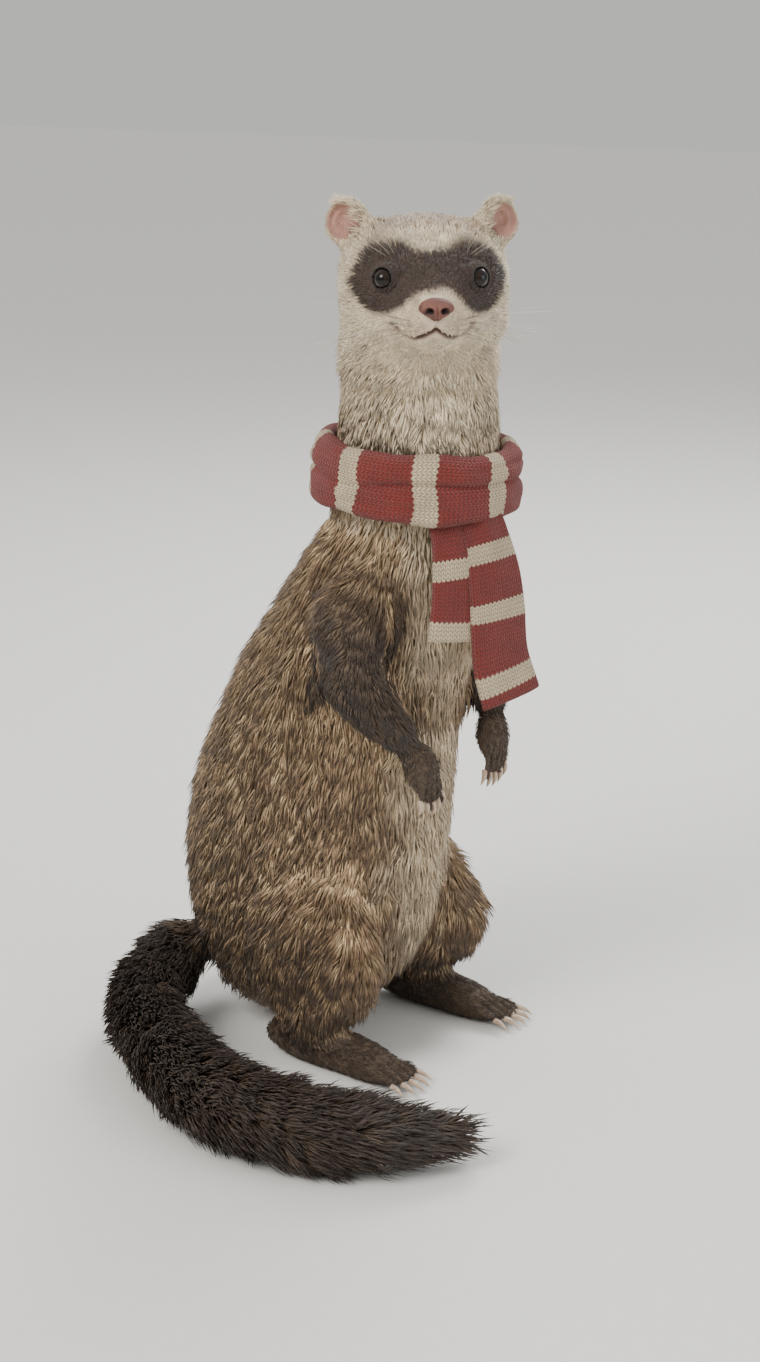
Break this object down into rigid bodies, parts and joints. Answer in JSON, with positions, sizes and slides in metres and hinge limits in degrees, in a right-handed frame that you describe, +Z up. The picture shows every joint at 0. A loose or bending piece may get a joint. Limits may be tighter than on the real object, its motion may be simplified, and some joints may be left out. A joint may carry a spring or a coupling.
{
  "type": "ferret",
  "caption": "Life-size ferret sitting up on its haunches with its head turned, its bushy tail curled beside it on the floor, wearing a striped knitted scarf.",
  "frame": {"origin": "middle of the bounding box, at floor height", "axes": "+Z up from the floor; the body faces -Y and its left side is +X; the head is turned towards -X"},
  "size_m": [0.193, 0.2208, 0.3532],
  "materials": {
    "body_coat": "long brown guard hair over a cream undercoat",
    "face_coat": "short cream fur with a dark mask",
    "dark_coat": "dark brown fur of the legs and the tail",
    "nose_skin": "moist bare skin",
    "ear_skin": "thin skin with very short fur",
    "eye_gloss": "wet, almost black",
    "scarf_wool": "knitted wool with cream stripes"
  },
  "bodies": {
    "root": {"head": "face_coat", "nose": "nose_skin", "eye_right": "eye_gloss", "ear_right": "ear_skin", "eye_left": "eye_gloss", "ear_left": "ear_skin", "torso": "body_coat", "neck": "body_coat", "foreleg_right": "dark_coat", "forepaw_right": "dark_coat", "haunch_right": "body_coat", "hind_foot_right": "dark_coat", "foreleg_left": "dark_coat", "forepaw_left": "dark_coat", "haunch_left": "body_coat", "hind_foot_left": "dark_coat", "tail_root": "dark_coat", "tail_middle": "dark_coat", "tail_tip": "dark_coat", "scarf_wrap": "scarf_wool", "scarf_end_long": "scarf_wool", "scarf_end_short": "scarf_wool"}
  },
  "joints": []
}
